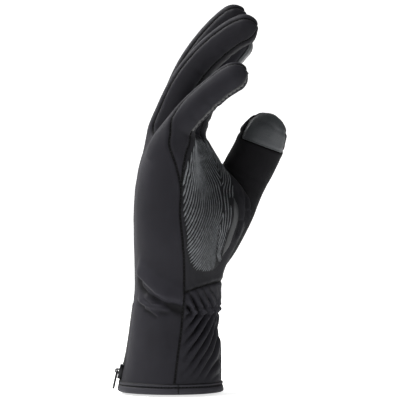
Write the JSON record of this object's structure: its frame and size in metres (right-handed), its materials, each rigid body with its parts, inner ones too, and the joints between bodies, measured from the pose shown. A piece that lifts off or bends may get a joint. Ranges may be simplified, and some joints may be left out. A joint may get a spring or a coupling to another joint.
{
  "type": "riding glove",
  "caption": "Thin soft-shell riding glove for the right hand, worn shape, with silicone grip lines on the palm, smooth thumb and index pads, a gathered wrist and a short cuff zip.",
  "frame": {"origin": "centre of the hand opening, at the lower edge of the hem", "axes": "+Z from the cuff to the fingertips, +X towards the palm, +Y towards the thumb, -Y towards the little finger"},
  "size_m": [0.101, 0.0952, 0.2397],
  "materials": {
    "soft_shell": "matt brushed soft-shell, fine twill face",
    "palm_fabric": "matt synthetic palm fabric",
    "thumb_fabric": "deep black stretch fabric",
    "touch_leather": "smooth satin touch-screen leather",
    "grip_silicone": "satin printed silicone lines",
    "hem_fabric": "rolled and double stitched",
    "zip_tape": "woven tape",
    "zip_plastic": "moulded coil teeth",
    "zip_metal": "black lacquer"
  },
  "bodies": {
    "glove": {"back_panel": "soft_shell", "palm_panel": "palm_fabric", "cuff_front_panel": "soft_shell", "side_panel_little": "soft_shell", "side_panel_index": "soft_shell", "fourchette_little_ring": "soft_shell", "fourchette_ring_middle": "soft_shell", "fourchette_middle_index": "soft_shell", "thumb_panel": "thumb_fabric", "thumb_tip_cap": "touch_leather", "index_tip_cap": "touch_leather", "grip_print": "grip_silicone", "hem_binding": "hem_fabric", "zip_tape": "zip_tape", "zip_teeth": "zip_plastic", "zip_slider": "zip_metal"},
    "zip_pull": {"zip_pull": "zip_metal"}
  },
  "joints": [
    {"name": "zip_pull_swing", "type": "hinge", "parent": "glove", "child": "zip_pull", "pos_m": [-0.03292, -0.0075, 0.01264], "axis": [-0.2601, 0.9639, 0.0564], "range_deg": [0, 120]}
  ]
}
